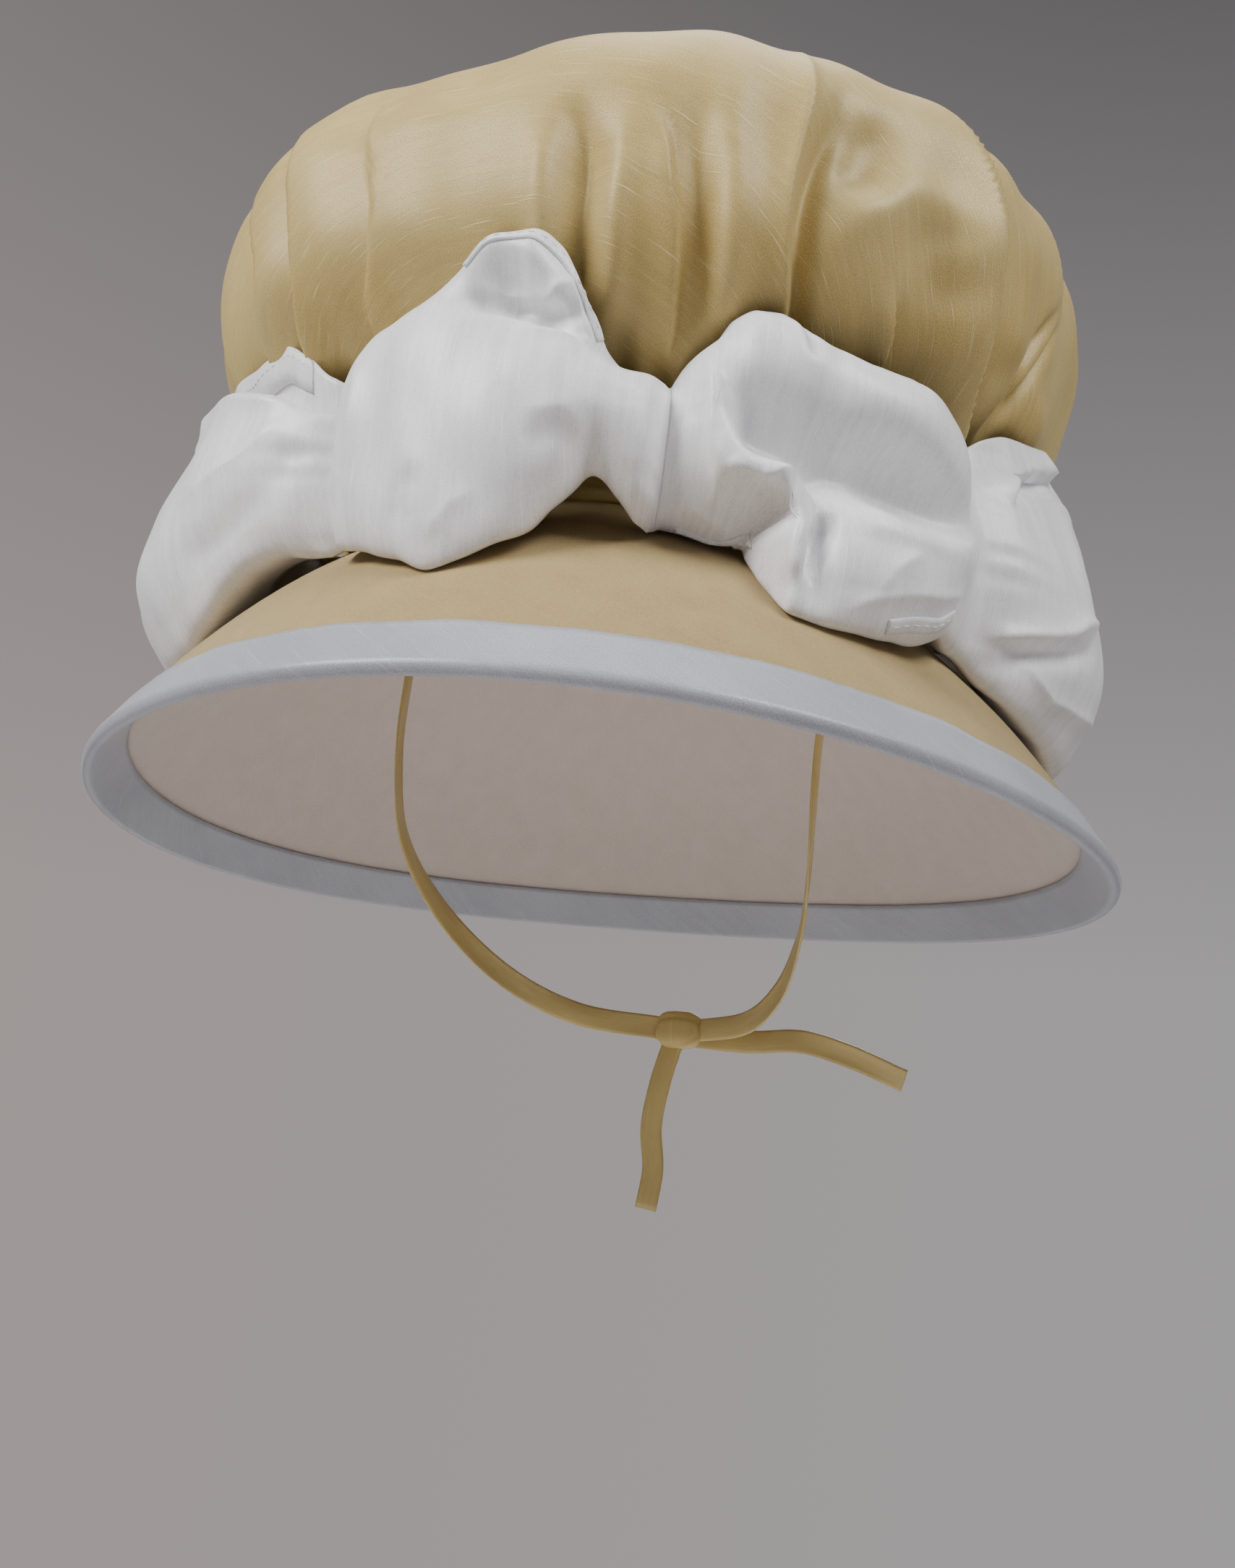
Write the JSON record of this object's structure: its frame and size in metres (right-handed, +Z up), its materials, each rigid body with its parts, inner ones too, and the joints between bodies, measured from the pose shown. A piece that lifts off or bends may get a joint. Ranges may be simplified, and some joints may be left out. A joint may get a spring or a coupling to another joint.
{
  "type": "poke bonnet",
  "caption": "Silk bonnet with a large puffed crown, a deep bound brim, a puffed white sash and narrow ties.",
  "frame": {"origin": "centre of the head opening, where the crown meets the brim", "axes": "+Z up along the crown's axis, front towards -Y, the wearer's left towards +X"},
  "size_m": [0.4894, 0.4814, 0.5172],
  "materials": {
    "crown_silk": "pale yellow slubbed silk with a satin sheen",
    "brim_cloth": "pale yellow matt cloth over a stiff board",
    "lining_cloth": "white matt cotton",
    "binding_satin": "white satin cut on the bias",
    "sash_silk": "white slubbed silk with a soft sheen",
    "tie_silk": "pale yellow satin ribbon"
  },
  "bodies": {
    "root": {"crown": "crown_silk", "crown_base_band": "crown_silk", "brim": "brim_cloth", "brim_lining": "lining_cloth", "brim_binding": "binding_satin", "sash": "sash_silk", "tie_right": "tie_silk", "tie_left": "tie_silk", "tie_knot": "tie_silk", "tie_end_left": "tie_silk", "tie_end_right": "tie_silk"}
  },
  "joints": []
}
